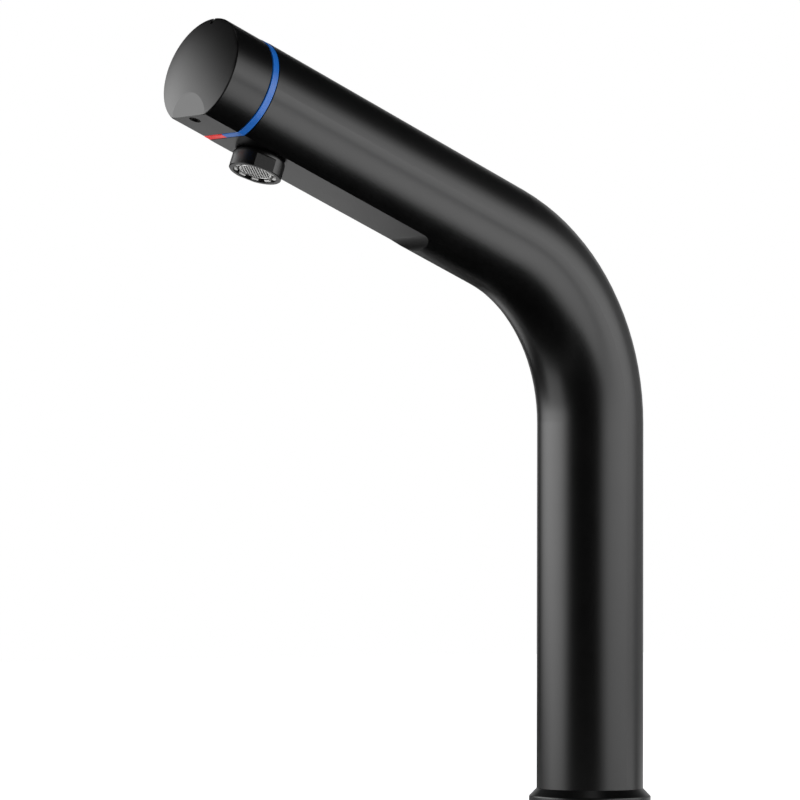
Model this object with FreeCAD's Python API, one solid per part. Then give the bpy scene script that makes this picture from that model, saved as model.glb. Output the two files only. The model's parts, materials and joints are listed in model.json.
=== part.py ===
"""Time-flow basin mixer with a tall leaning spout, a push and turn knob and a deck fixing.

Millimetres. The origin is the centre of the foot on the deck, +Z is up and the spout leans to -Y.
Pieces inside the leaning arm are modelled along their own Z, with +Y as the arm's top side, and
are then laid along the arm. Distances along the arm, written u, start where the bend ends.
"""
import FreeCAD, Part
import math
import os

from FreeCAD import Vector

os.makedirs("parts", exist_ok=True)

# Spout tube
tube_d = 38.0
column_h = 136.1          # deck to the start of the bend
bend_r = 68.7             # centre line
arm_tilt = 20.2           # degrees above level
arm_l = 122.3             # end of the bend to the open end
column_wall = 3.0
cartridge_bore_d = 28.0
neck_bore_u = 20.0
flat_wall = 2.45          # from the cartridge's bore to the flat underside
flat_start_u = 38.6
runout_r = 8.8            # cutter radius where the flat runs out
foot_flange_w = 1.2       # beyond the tube
foot_flange_h = 2.0

# Foot and deck fixing
base_ring_w = 2.7         # beyond the tube
base_ring_h = 5.2
base_ring_bevel = 2.7
base_ring_edge_r = 0.6
base_seal_t = 0.8
base_seal_inset = 0.6     # inside the ring's edge
base_seal_room = 0.5      # from the column's bore to the seal
fixing_block_h = 19.0
stud_d = 6.0
stud_wall = 0.95          # of the block, outside each stud
stud_in_block = 13.0
stud_below_deck = 60.0
stud_chamfer = 0.75
deck_t = 20.0             # deck shown between seal and clamp
clamp_pad_t = 2.5
clamp_pad_d = 45.0
clamp_plate_t = 3.0
clamp_plate_d = 48.0
clamp_web = 0.7           # between the slot and each stud hole
clamp_slot_back = 14.0    # from the axis to the closed end of the slot
stud_washer_d = 12.0
stud_washer_t = 1.5
stud_nut_flats = 10.0
stud_nut_h = 5.0
stud_nut_bevel = 0.8      # across the corners, half of it in height

# Water inlets and supply pipes
supply_x = 7.0            # each side of the centre
inlet_d = 12.0
inlet_thread_d = 9.0      # core of the M10 x 1 thread
inlet_thread_l = 9.0
inlet_below_deck = 11.0
inlet_socket_l = 6.0
pipe_d = 8.0
pipe_wall = 1.0
pipe_room = 1.2           # from each pipe to the wall of the neck's bore

# Cartridge stack
manifold_l = 14.0
manifold_socket_l = 8.0
manifold_ring_setback = 6.3   # from the port face to the ring
port_d = 5.2
cartridge_l = 43.0
cartridge_wall = 2.7
cartridge_back_t = 3.0
disc_t = 4.0
port_half_angle = 55.0    # half the spread of each kidney port
port_w = 4.4
driver_flange_t = 3.0
driver_hub_d = 10.0
driver_hub_l = 6.0
driver_hole_d = 2.2
driver_hole_count = 6
tail_d = 6.0
tail_flats = 4.2
spindle_d = 8.0
valve_d = 18.4
valve_t = 4.0
valve_seal_t = 1.4
valve_seal_w = 3.0
valve_seat_d = 14.8
valve_seat_t = 2.0
window_l = 4.6
window_angle = 50.0
window_count = 4
window_gap = 0.4          # valve seat to the windows
cap_flange_t = 4.4
cap_barrel_d = 21.6
cap_chamber_d = 17.2
cap_chamber_l = 8.4
cap_end_t = 2.0
timing_piston_t = 2.4
timing_piston_back_u = 1.6
timing_seal_t = 1.2
timing_seal_depth = 1.2
spring_wire_d = 1.1
spring_mean_d = 14.8
spring_turns = 5

# Knob end
nut_in_bore = 4.9
neck_d = 28.6
neck_l = 10.3             # beyond the open end of the arm
nut_web_t = 1.6
neck_pocket_d = 22.8
stop_seat_d = 24.8
stop_seat_depth = 3.4
stop_ring_t = 2.4
stop_ring_inner_d = 19.2
stop_lug_inner_d = 15.2
knob_turn_limit = 60.0    # degrees each way
stop_play = 1.0           # degrees left at each stop
push_travel = 4.0
marker_step = 0.15        # inside the tube's surface
marker_w = 2.6
marker_line = 0.15        # dark joint line each side of the marker
knob_line = 0.25          # between marker and knob when it is pressed home
knob_step = 0.3           # inside the tube's surface
knob_l = 17.94            # to the crown of the domed face
face_dome_r = 72.0
face_dome_rise = 3.1      # from the axis up to the dome's centre
knob_edge_r = 0.5
knob_rear_r = 0.3
knob_front_t = 10.0
knob_cavity_d = 29.2
knob_hub_d = 13.0
knob_hub_l = 7.2
knob_tab_reach = 9.2
knob_tab_angle = 16.0
knob_tab_l = 4.5
facet_edge_setback = 3.28     # from the crown to the facet's edge at the flat
facet_slope = 16.7        # degrees, the finger facet against the knob's end
notch_w = 1.3
notch_depth = 2.3
notch_l = 4.5             # from the crown
spindle_end_gap = 4.0     # from the crown to the end of the spindle
grub_d = 4.0
grub_setback = 6.3        # from the crown to the screw
grub_sunk = 0.9
grub_key = 2.0
grub_key_depth = 2.0

# Outlet
outlet_setback = 14.8     # open end of the arm to the outlet axis
outlet_d = 18.1
outlet_l = 6.65           # below the flat
outlet_top_r = 1.6
outlet_rim_chamfer = 0.25
outlet_bore_d = 9.2
outlet_cup_d = 15.2
outlet_cup_l = 5.9
outlet_spigot_d = 13.1
outlet_spigot_gap = 0.25  # from the cartridge's bore to the spigot
outlet_flat_depth = 0.7
outlet_flat_l = 4.7
outlet_flat_turn = 70.0   # degrees from the arm's axis towards +X
straightener_l = 5.0
straightener_sunk = 0.3
straightener_ring_w = 1.8
castle_count = 9
castle_depth = 1.2
castle_slot_angle = 20.0
grille_d = 11.0
grille_rim_w = 0.45
grille_t = 1.0
grille_sunk = 0.5
grille_pitch = 0.95
grille_bar = 0.3

# Seals
o_ring_d = 1.6
pipe_ring_d = 1.4
port_ring_d = 1.6
outlet_ring_d = 0.8
spindle_ring_d = 1.6

# Clearances
fit = 0.05                # radial, between pieces that seat in each other
slip = 0.1                # radial, between pieces that slide or turn
face_gap = 0.05           # between faces that only just meet
past = 1.0                # cutters run this far past the surface

tube_r = tube_d / 2
column_bore_d = tube_d - 2 * column_wall
neck_bore_d = 2 * supply_x + pipe_d + 2 * pipe_room
foot_flange_d = tube_d + 2 * foot_flange_w
base_ring_d = tube_d + 2 * base_ring_w
base_seal_d = base_ring_d - 2 * base_seal_inset
base_seal_bore_d = column_bore_d + 2 * base_seal_room
flat_h = cartridge_bore_d / 2 + flat_wall     # from the arm's axis
marker_d = tube_d - 2 * marker_step
knob_d = tube_d - 2 * knob_step
bend_angle = 90.0 - arm_tilt
arm_dir = Vector(0, -math.cos(math.radians(arm_tilt)), math.sin(math.radians(arm_tilt)))
up = Vector(0, 0, 1)


def bend_point(angle, x=0.0):
    """Point on the bend's centre line, after that many degrees."""
    a = math.radians(angle)
    return Vector(x, -bend_r * (1 - math.cos(a)), column_h + bend_r * math.sin(a))


arm_start = bend_point(bend_angle)
arm_place = FreeCAD.Placement(arm_start, FreeCAD.Rotation(Vector(1, 0, 0), bend_angle))

# Places along the arm
outlet_u = arm_l - outlet_setback
nut_back_u = arm_l - nut_in_bore
cap_back_u = nut_back_u - cap_flange_t
cartridge_u = cap_back_u - cartridge_l
manifold_u = cartridge_u - manifold_l
fixed_disc_u = cartridge_u + cartridge_back_t
turning_disc_u = fixed_disc_u + disc_t
driver_u = turning_disc_u + disc_t
hub_end_u = driver_u + driver_flange_t + driver_hub_l
window_end_u = cap_back_u - window_gap
window_u = window_end_u - window_l
seat_u = window_u - window_gap - valve_seat_t
valve_front_u = seat_u - face_gap - push_travel - valve_seal_t
valve_back_u = valve_front_u - valve_t
chamber_end_u = cap_back_u + cap_chamber_l
cap_front_u = chamber_end_u + cap_end_t
neck_end_u = arm_l + neck_l
stop_seat_u = neck_end_u - stop_seat_depth
marker_u = arm_l + marker_line
knob_back_u = marker_u + marker_w + knob_line
knob_face_u = knob_back_u + knob_l
knob_front_u = knob_face_u - knob_front_t
hub_back_u = knob_front_u - knob_hub_l
grub_u = knob_face_u - grub_setback
spindle_end_u = knob_face_u - spindle_end_gap
tail_start_u = driver_u + face_gap
tail_end_u = hub_end_u + face_gap

# Radii that fit into each other
cartridge_r = cartridge_bore_d / 2 - slip
cartridge_in_r = cartridge_r - cartridge_wall
disc_r = cartridge_in_r - slip
spindle_r = spindle_d / 2
block_r = column_bore_d / 2 - fit
stud_gap = 2 * block_r - stud_d - 2 * stud_wall
stud_hole_d = stud_d + 6 * slip
clamp_slot_w = stud_gap - stud_hole_d - 2 * clamp_web
o_ring_r = o_ring_d / 2
bore_ring_r = cartridge_bore_d / 2 - fit - o_ring_r
bore_groove_r = bore_ring_r - o_ring_r - fit


def rod(d, z0, z1, x=0.0, y=0.0):
    return Part.makeCylinder(d / 2, z1 - z0, Vector(x, y, z0))


def tube(d_out, d_in, z0, z1, x=0.0, y=0.0):
    return rod(d_out, z0, z1, x, y).cut(rod(d_in, z0 - past, z1 + past, x, y))


def turned(points):
    """Solid of revolution about Z from (radius, z) corners."""
    corners = [Vector(r, 0, z) for r, z in points]
    face = Part.Face(Part.makePolygon(corners + corners[:1]))
    return face.revolve(Vector(0, 0, 0), up, 360)


def ring_groove(floor_r, out_r, z, width):
    return tube(2 * out_r, 2 * floor_r, z - width / 2, z + width / 2)


def o_ring(mean_r, section_r, z, x=0.0, y=0.0):
    return Part.makeTorus(mean_r, section_r, Vector(x, y, z), up)


def sector(r_in, r_out, z0, z1, middle, half_angle):
    """Piece of a flat ring, centred on an angle from +X."""
    ring = tube(2 * r_out, 2 * r_in, z0, z1)
    wedge = Part.makeCylinder(2 * r_out, z1 - z0, Vector(0, 0, z0), up, 2 * half_angle)
    wedge.rotate(Vector(0, 0, 0), up, middle - half_angle)
    return ring.common(wedge)


def hexagon(flats, z0, z1, x=0.0, y=0.0):
    corner_r = flats / math.sqrt(3)
    corners = []
    for i in range(7):
        a = math.radians(60 * i)
        corners.append(Vector(x + corner_r * math.cos(a), y + corner_r * math.sin(a), z0))
    return Part.Face(Part.makePolygon(corners)).extrude(Vector(0, 0, z1 - z0))


def along_spout(d, z0, u1, x=0.0):
    """Round bar that follows the column, the bend and the arm, at a distance x from the middle."""
    start = Vector(x, 0, z0)
    bend_start = Vector(x, 0, column_h)
    bend_end = bend_point(bend_angle, x)
    end = bend_end + arm_dir * u1
    path = Part.Wire([
        Part.LineSegment(start, bend_start).toShape(),
        Part.Arc(bend_start, bend_point(bend_angle / 2, x), bend_end).toShape(),
        Part.LineSegment(bend_end, end).toShape(),
    ])
    section = Part.Wire([Part.Circle(start, up, d / 2).toShape()])
    return path.makePipeShell([section], True, False)


def below_flat(z0, z1):
    """Everything under the flat of the arm, marker and knob, between two places along the arm."""
    return Part.makeBox(4 * tube_r, 2 * tube_r, z1 - z0, Vector(-2 * tube_r, -flat_h - 2 * tube_r, z0))


def save(name, shape, in_arm=False):
    """Writes one node. A shape is a solid, or a list of separate solids that share the node."""
    if isinstance(shape, list):
        shape = Part.makeCompound([s.removeSplitter() for s in shape])
    else:
        shape = shape.removeSplitter()
    if in_arm:
        shape.Placement = arm_place.multiply(shape.Placement)
    if not shape.isValid():
        print("not valid:", name)
    shape.exportStep(f"parts/{name}.step")
    print(f"{name}: {len(shape.Solids)} solid(s), {shape.Volume:.1f} mm3")


# Spout body

def flat_cutter():
    """Cutter for the flat underside: a long flat and a round run-out towards the bend."""
    low = -tube_r - past
    rise = -flat_h - low
    end_u = flat_start_u - math.sqrt(2 * runout_r * rise - rise ** 2)
    centre = Vector(0, -flat_h - runout_r, flat_start_u)
    a = math.acos((runout_r - rise) / runout_r) / 2
    middle = centre + Vector(0, runout_r * math.cos(a), -runout_r * math.sin(a))
    flat_a = Vector(0, -flat_h, arm_l + past)
    flat_b = Vector(0, -flat_h, flat_start_u)
    tip = Vector(0, low, end_u)
    corner = Vector(0, low, arm_l + past)
    outline = Part.Wire([
        Part.LineSegment(flat_a, flat_b).toShape(),
        Part.Arc(flat_b, middle, tip).toShape(),
        Part.LineSegment(tip, corner).toShape(),
        Part.LineSegment(corner, flat_a).toShape(),
    ])
    cutter = Part.Face(outline).extrude(Vector(4 * tube_r, 0, 0))
    cutter.translate(Vector(-2 * tube_r, 0, 0))
    return cutter


def outlet_hole():
    return Part.makeCylinder(outlet_spigot_d / 2 + fit, tube_r, Vector(0, 0, outlet_u), Vector(0, -1, 0))


def spout_body():
    body = along_spout(tube_d, base_seal_t, arm_l)
    body = body.fuse(rod(foot_flange_d, base_seal_t, base_seal_t + foot_flange_h))
    body = body.cut(along_spout(column_bore_d, base_seal_t - past, neck_bore_u))
    for cutter in (
        rod(neck_bore_d, neck_bore_u - past, manifold_u + past),
        rod(cartridge_bore_d, manifold_u, arm_l + past),
        flat_cutter(),
        outlet_hole(),
    ):
        cutter.Placement = arm_place.multiply(cutter.Placement)
        body = body.cut(cutter)
    return body


# Foot and deck fixing

def base_ring():
    r_out = base_ring_d / 2
    r_in = tube_r + fit
    z0 = base_seal_t
    z1 = base_seal_t + base_ring_h
    step_z = base_seal_t + foot_flange_h + face_gap
    step_r = foot_flange_d / 2 + fit
    ring = turned([
        (step_r, z0), (r_out, z0), (r_out, z1 - base_ring_bevel),
        (r_out - base_ring_bevel + fit, z1), (r_in, z1), (r_in, step_z), (step_r, step_z),
    ])
    edges = [e for e in ring.Edges
             if abs(e.BoundBox.XLength - base_ring_d) < 0.01 and e.BoundBox.ZLength < 0.01]
    return ring.makeFillet(base_ring_edge_r, edges)


def base_seal():
    return tube(base_seal_d, base_seal_bore_d, 0, base_seal_t)


def stud_places():
    return [(0.0, side * stud_gap / 2) for side in (-1, 1)]


def fixing_block():
    block = rod(2 * block_r, base_seal_t, base_seal_t + fixing_block_h)
    for x, y in stud_places():
        block = block.cut(rod(stud_d + 2 * fit, 0, base_seal_t + stud_in_block, x, y))
    for side in (-1, 1):
        block = block.cut(rod(inlet_d + 2 * fit, 0, base_seal_t + fixing_block_h + past, side * supply_x))
    return block


def fixing_studs():
    top = base_seal_t + stud_in_block
    studs = []
    for x, y in stud_places():
        stud = turned([
            (0, -stud_below_deck), (stud_d / 2 - stud_chamfer, -stud_below_deck),
            (stud_d / 2, -stud_below_deck + stud_chamfer), (stud_d / 2, top), (0, top),
        ])
        stud.translate(Vector(x, y, 0))
        studs.append(stud)
    return studs


def horseshoe(d, z0, z1):
    """Round plate with two stud holes and a slot, open towards +X, for the two hoses."""
    plate = rod(d, z0, z1)
    slot_r = clamp_slot_w / 2
    slot_x = -clamp_slot_back + slot_r
    slot = rod(clamp_slot_w, z0, z1, slot_x)
    slot = slot.fuse(Part.makeBox(d, clamp_slot_w, z1 - z0, Vector(slot_x, -slot_r, z0)))
    plate = plate.cut(slot)
    for x, y in stud_places():
        plate = plate.cut(rod(stud_hole_d, z0, z1, x, y))
    return plate


pad_top = -deck_t
plate_top = pad_top - clamp_pad_t
washer_top = plate_top - clamp_plate_t
nut_top = washer_top - stud_washer_t


def stud_washers():
    hole = stud_d + 4 * slip
    return [tube(stud_washer_d, hole, nut_top, washer_top, x, y) for x, y in stud_places()]


def fixing_nuts():
    nuts = []
    outer = stud_nut_flats / math.sqrt(3)
    for x, y in stud_places():
        nut = hexagon(stud_nut_flats, nut_top - stud_nut_h, nut_top)
        crown = turned([
            (0, nut_top - stud_nut_h), (outer - stud_nut_bevel, nut_top - stud_nut_h),
            (outer, nut_top - stud_nut_h + stud_nut_bevel / 2), (outer, nut_top), (0, nut_top),
        ])
        nut = nut.common(crown).cut(rod(stud_d + slip, nut_top - stud_nut_h, nut_top))
        nut.translate(Vector(x, y, 0))
        nuts.append(nut)
    return nuts


# Inlets and pipes

inlet_top = base_seal_t + fixing_block_h
pipe_start_z = inlet_top - inlet_socket_l


def inlet(side):
    """Threaded hose connection below, pipe socket above, with a water way between them."""
    z0 = -inlet_below_deck
    body = rod(inlet_d, z0, inlet_top)
    body = body.cut(rod(inlet_thread_d, z0, z0 + inlet_thread_l))
    body = body.cut(rod(pipe_d + 2 * fit, pipe_start_z, inlet_top))
    body = body.cut(rod(pipe_d - 2 * pipe_wall, z0, inlet_top))
    body.translate(Vector(side * supply_x, 0, 0))
    return body


pipe_end_u = manifold_u + manifold_socket_l


def supply_pipe(side):
    x = side * supply_x
    outside = along_spout(pipe_d, pipe_start_z, pipe_end_u, x)
    inside = along_spout(pipe_d - 2 * pipe_wall, pipe_start_z, pipe_end_u, x)
    return outside.cut(inside)


pipe_ring_u = manifold_u + manifold_socket_l / 2
pipe_ring_mean_r = pipe_d / 2 + fit + pipe_ring_d / 2


def pipe_o_rings():
    return [o_ring(pipe_ring_mean_r, pipe_ring_d / 2, pipe_ring_u, side * supply_x) for side in (-1, 1)]


# Cartridge and its seat

port_ring_mean_r = port_d / 2 + slip + port_ring_d / 2
port_ring_u = cartridge_u - port_ring_d / 2 - fit
manifold_ring_u = cartridge_u - manifold_ring_setback


def manifold():
    body = rod(2 * cartridge_r, manifold_u, cartridge_u)
    body = body.cut(ring_groove(bore_groove_r, cartridge_r + past, manifold_ring_u, o_ring_d + 2 * slip))
    groove_r = pipe_ring_mean_r + pipe_ring_d / 2 + fit
    groove_w = pipe_ring_d + 2 * slip
    seal_r = port_ring_mean_r + port_ring_d / 2 + fit
    for side in (-1, 1):
        x = side * supply_x
        body = body.cut(rod(pipe_d + 2 * slip, manifold_u, pipe_end_u, x))
        body = body.cut(rod(2 * groove_r, pipe_ring_u - groove_w / 2, pipe_ring_u + groove_w / 2, x))
        body = body.cut(rod(port_d, manifold_u, cartridge_u, x))
        body = body.cut(rod(2 * seal_r, port_ring_u - port_ring_d / 2 - fit, cartridge_u, x))
    return body


def port_seals():
    return [o_ring(port_ring_mean_r, port_ring_d / 2, port_ring_u, side * supply_x) for side in (-1, 1)]


def manifold_o_ring():
    return o_ring(bore_ring_r, o_ring_r, manifold_ring_u)


def kidney_ports(z0, z1):
    r0 = supply_x - port_w / 2
    r1 = supply_x + port_w / 2
    return [sector(r0, r1, z0, z1, middle, port_half_angle) for middle in (0, 180)]


back_ring_u = outlet_u - outlet_spigot_d / 2 - o_ring_d


def cartridge_body():
    body = rod(2 * cartridge_r, cartridge_u, cap_back_u)
    body = body.cut(rod(2 * cartridge_in_r, fixed_disc_u, seat_u))
    body = body.cut(rod(2 * cartridge_in_r, seat_u + valve_seat_t, cap_back_u))
    body = body.cut(rod(valve_seat_d, seat_u, cap_back_u))
    for side in (-1, 1):
        body = body.cut(rod(port_d, cartridge_u, fixed_disc_u, side * supply_x))
    body = body.cut(ring_groove(bore_groove_r, cartridge_r + past, back_ring_u, o_ring_d + 2 * slip))
    for i in range(window_count):
        middle = -90 + 360 / window_count * i
        body = body.cut(sector(cartridge_in_r - past, cartridge_r + past, window_u, window_end_u,
                               middle, window_angle / 2))
    return body


def fixed_disc():
    disc = rod(2 * disc_r, fixed_disc_u, turning_disc_u)
    for port in kidney_ports(fixed_disc_u, turning_disc_u):
        disc = disc.cut(port)
    return disc


def turning_disc():
    """Half-ring slot on the top side: at the middle it opens half of each port."""
    disc = rod(2 * (disc_r - slip), turning_disc_u, driver_u)
    slot = sector(supply_x - port_w / 2, supply_x + port_w / 2, turning_disc_u, driver_u, 90, 90)
    return disc.cut(slot)


def tail_shape(z0, z1, extra=0.0):
    """Round bar with two flats, which passes the turn of the spindle on to the disc."""
    bar = rod(tail_d + 2 * extra, z0, z1)
    flats = tail_flats + 2 * extra
    keep = Part.makeBox(flats, 2 * tail_d, z1 - z0, Vector(-flats / 2, -tail_d, z0))
    return bar.common(keep)


def disc_driver():
    flange_end = driver_u + driver_flange_t
    body = rod(2 * (disc_r - slip), driver_u, flange_end)
    body = body.fuse(rod(driver_hub_d, flange_end, hub_end_u))
    body = body.cut(tail_shape(driver_u, hub_end_u, slip))
    hole_r = (disc_r + spring_mean_d / 2 + spring_wire_d) / 2
    for i in range(driver_hole_count):
        a = math.radians(360 / driver_hole_count * (i + 0.5))
        x = hole_r * math.cos(a)
        y = hole_r * math.sin(a)
        body = body.cut(rod(driver_hole_d, driver_u, flange_end, x, y))
    return body


def return_spring():
    """Compression spring between the driver's flange and the valve, with its end coils ground flat."""
    z0 = driver_u + driver_flange_t + face_gap
    z1 = valve_back_u - face_gap
    length = z1 - z0
    pitch = length / spring_turns
    mean_r = spring_mean_d / 2
    helix = Part.makeHelix(pitch, length, mean_r)
    helix.translate(Vector(0, 0, z0))
    start = helix.Edges[0].valueAt(helix.Edges[0].FirstParameter)
    section = Part.Wire([Part.Circle(start, Vector(0, 1, 0), spring_wire_d / 2).toShape()])
    coil = Part.Wire(helix.Edges).makePipeShell([section], True, True)
    return coil.common(rod(4 * mean_r, z0, z1))


def valve_piston():
    body = rod(valve_d, valve_back_u, valve_front_u)
    hub_d = valve_d - 2 * valve_seal_w - 2 * slip
    body = body.fuse(rod(hub_d, valve_front_u, valve_front_u + valve_seal_t))
    return body.cut(rod(spindle_d + 2 * fit, valve_back_u, valve_front_u + valve_seal_t))


def valve_seal():
    return tube(valve_d, valve_d - 2 * valve_seal_w, valve_front_u, valve_front_u + valve_seal_t)


timing_u = cap_back_u + timing_piston_back_u
timing_seal_u = timing_u + timing_piston_t / 2


def timing_piston():
    r = cap_chamber_d / 2 - 3 * slip
    body = tube(2 * r, spindle_d + 2 * fit, timing_u, timing_u + timing_piston_t)
    return body.cut(ring_groove(r - timing_seal_depth, r + past, timing_seal_u, timing_seal_t + slip))


def timing_seal():
    floor_r = cap_chamber_d / 2 - 3 * slip - timing_seal_depth
    return tube(cap_chamber_d - 2 * slip, 2 * (floor_r + fit), timing_seal_u - timing_seal_t / 2,
                timing_seal_u + timing_seal_t / 2)


front_ring_u = cap_back_u + cap_flange_t / 2
spindle_ring_mean_r = spindle_r + fit + spindle_ring_d / 2
spindle_ring_u = cap_front_u - spindle_ring_d / 2 - fit


def cartridge_cap():
    body = rod(2 * cartridge_r, cap_back_u, nut_back_u)
    body = body.fuse(rod(cap_barrel_d, nut_back_u, cap_front_u))
    body = body.cut(rod(cap_chamber_d, cap_back_u, chamber_end_u))
    body = body.cut(rod(spindle_d + 2 * slip, chamber_end_u, cap_front_u))
    gland_r = spindle_ring_mean_r + spindle_ring_d / 2 + fit
    body = body.cut(rod(2 * gland_r, spindle_ring_u - spindle_ring_d / 2 - fit, cap_front_u))
    return body.cut(ring_groove(bore_groove_r, cartridge_r + past, front_ring_u, o_ring_d + 2 * slip))


def cartridge_o_rings():
    return [o_ring(bore_ring_r, o_ring_r, z) for z in (back_ring_u, front_ring_u)]


def spindle_o_ring():
    return o_ring(spindle_ring_mean_r, spindle_ring_d / 2, spindle_ring_u)


def spindle():
    body = rod(spindle_d, tail_end_u, spindle_end_u)
    return body.fuse(tail_shape(tail_start_u, tail_end_u))


# Knob end

def cartridge_nut():
    """Holds the cartridge in the arm and carries the marker, the stop ring and the knob."""
    web_end = cap_front_u + nut_web_t
    body = rod(2 * cartridge_r, nut_back_u, arm_l)
    body = body.fuse(rod(neck_d, arm_l, neck_end_u))
    body = body.cut(rod(cap_barrel_d + 2 * slip, nut_back_u, cap_front_u))
    body = body.cut(rod(spindle_d + 6 * slip, cap_front_u, web_end))
    body = body.cut(rod(neck_pocket_d, web_end, neck_end_u))
    return body.cut(rod(stop_seat_d, stop_seat_u, neck_end_u))


def stop_ring():
    """Inner lugs meet the tab on the knob's hub at both ends of the turn."""
    z1 = stop_seat_u + stop_ring_t
    ring = tube(stop_seat_d - 2 * fit, stop_lug_inner_d, stop_seat_u, z1)
    open_half = knob_turn_limit + knob_tab_angle / 2 + stop_play
    gap = sector(stop_lug_inner_d / 2 - past, stop_ring_inner_d / 2, stop_seat_u, z1, 90, open_half)
    return ring.cut(gap)


def marker(side):
    """Half of the coloured ring, with the flat of the arm under it."""
    ring = tube(marker_d, neck_d + 2 * fit, marker_u, marker_u + marker_w)
    half = Part.makeBox(marker_d, 2 * marker_d, marker_w, Vector(0, -marker_d, marker_u))
    if side < 0:
        half.translate(Vector(-marker_d, 0, 0))
    return ring.common(half).cut(below_flat(marker_u, marker_u + marker_w))


def push_knob():
    """Round cup with a flat under it, a domed face, a finger facet and a pointer notch."""
    outside = rod(knob_d, knob_back_u, knob_face_u).cut(below_flat(knob_back_u - past, knob_face_u + past))
    outside = outside.common(Part.makeSphere(face_dome_r, Vector(0, face_dome_rise, knob_face_u - face_dome_r)))
    face = max(outside.Faces, key=lambda f: f.CenterOfMass.z)
    outside = outside.makeFillet(knob_edge_r, face.Edges)
    back = min(outside.Faces, key=lambda f: f.CenterOfMass.z)
    outside = outside.makeFillet(knob_rear_r, back.Edges)
    body = outside.cut(rod(knob_cavity_d, knob_back_u - past, knob_front_u))
    body = body.fuse(rod(knob_hub_d, hub_back_u, knob_front_u))
    tab_half = knob_tab_angle / 2
    body = body.fuse(sector(knob_hub_d / 2 - past, knob_tab_reach, hub_back_u, hub_back_u + knob_tab_l,
                            90, tab_half))
    body = body.cut(rod(spindle_d + 2 * fit, hub_back_u - past, spindle_end_u + slip))
    grub_start = Vector(0, 0, grub_u)
    body = body.cut(Part.makeCylinder(grub_d / 2 + fit, flat_h + past, grub_start, Vector(0, -1, 0)))
    body = body.cut(finger_facet())
    notch_corner = Vector(-notch_w / 2, knob_d / 2 - notch_depth, knob_face_u - notch_l)
    notch = Part.makeBox(notch_w, knob_d, knob_d, notch_corner)
    return body.cut(notch)


def finger_facet():
    """Cutter for the flat facet that slants from the dome to the flat, where a finger hooks the knob."""
    cutter = Part.makeBox(2 * knob_d, 2 * knob_d, knob_l, Vector(-knob_d, -knob_d, 0))
    cutter.rotate(Vector(0, 0, 0), Vector(1, 0, 0), facet_slope)
    cutter.translate(Vector(0, -flat_h, knob_face_u - facet_edge_setback))
    return cutter


def knob_grub_screw():
    """Socket screw that goes in from the flat and clamps the spindle."""
    outer = flat_h - grub_sunk
    screw = rod(grub_d, spindle_r, outer)
    screw = screw.cut(hexagon(grub_key, outer - grub_key_depth, outer))
    screw.rotate(Vector(0, 0, 0), Vector(1, 0, 0), 90)
    screw.translate(Vector(0, 0, grub_u))
    return screw


# Outlet, modelled pointing along +Z from the arm's axis and then turned to the underside

rim_z = flat_h + outlet_l
cup_z = rim_z - outlet_cup_l
spigot_z = cartridge_bore_d / 2 + outlet_spigot_gap
straightener_z = rim_z - straightener_sunk - straightener_l
grille_z = rim_z - grille_sunk - grille_t
outlet_ring_z = (spigot_z + flat_h) / 2
outlet_ring_mean_r = outlet_spigot_d / 2 - outlet_ring_d / 2


def at_outlet(shape):
    """Turns a piece so that +Z points out of the underside and +X stays the arm's +X side."""
    shape.rotate(Vector(0, 0, 0), Vector(1, 0, 0), 90)
    shape.translate(Vector(0, 0, outlet_u))
    return shape


def outlet_nozzle():
    r = outlet_d / 2
    body = rod(outlet_d, flat_h, rim_z)
    rims = [e for e in body.Edges if e.BoundBox.ZLength < 0.01]
    top = [e for e in rims if e.BoundBox.ZMin < flat_h + past]
    body = body.makeFillet(outlet_top_r, top)
    rims = [e for e in body.Edges if e.BoundBox.ZLength < 0.01 and e.BoundBox.ZMin > rim_z - 0.01]
    body = body.makeChamfer(outlet_rim_chamfer, rims)
    flat_corner = Vector(r - outlet_flat_depth, -r, rim_z - outlet_flat_l)
    for turn in (0, 180):
        flat = Part.makeBox(r, 2 * r, outlet_flat_l + past, flat_corner)
        flat.rotate(Vector(0, 0, 0), up, turn + 90 - outlet_flat_turn)
        body = body.cut(flat)
    body = body.fuse(rod(outlet_spigot_d, spigot_z, flat_h + past))
    groove_floor = outlet_ring_mean_r - outlet_ring_d / 2 - fit
    body = body.cut(ring_groove(groove_floor, r, outlet_ring_z, outlet_ring_d + slip))
    body = body.cut(rod(outlet_bore_d, spigot_z, rim_z))
    body = body.cut(rod(outlet_cup_d, cup_z, rim_z))
    return at_outlet(body)


def nozzle_o_ring():
    return at_outlet(o_ring(outlet_ring_mean_r, outlet_ring_d / 2, outlet_ring_z))


def flow_straightener():
    """Cup insert with a castellated rim round the grille."""
    d = outlet_cup_d - 2 * slip
    inner = d - 2 * straightener_ring_w
    end_z = rim_z - straightener_sunk
    body = rod(d, straightener_z, end_z)
    body = body.cut(rod(inner, grille_z, end_z))
    body = body.cut(rod(outlet_bore_d, straightener_z, end_z))
    for i in range(castle_count):
        body = body.cut(sector(inner / 2 - past, d / 2 + past, end_z - castle_depth, end_z + past,
                               360 / castle_count * i, castle_slot_angle / 2))
    return at_outlet(body)


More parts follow.
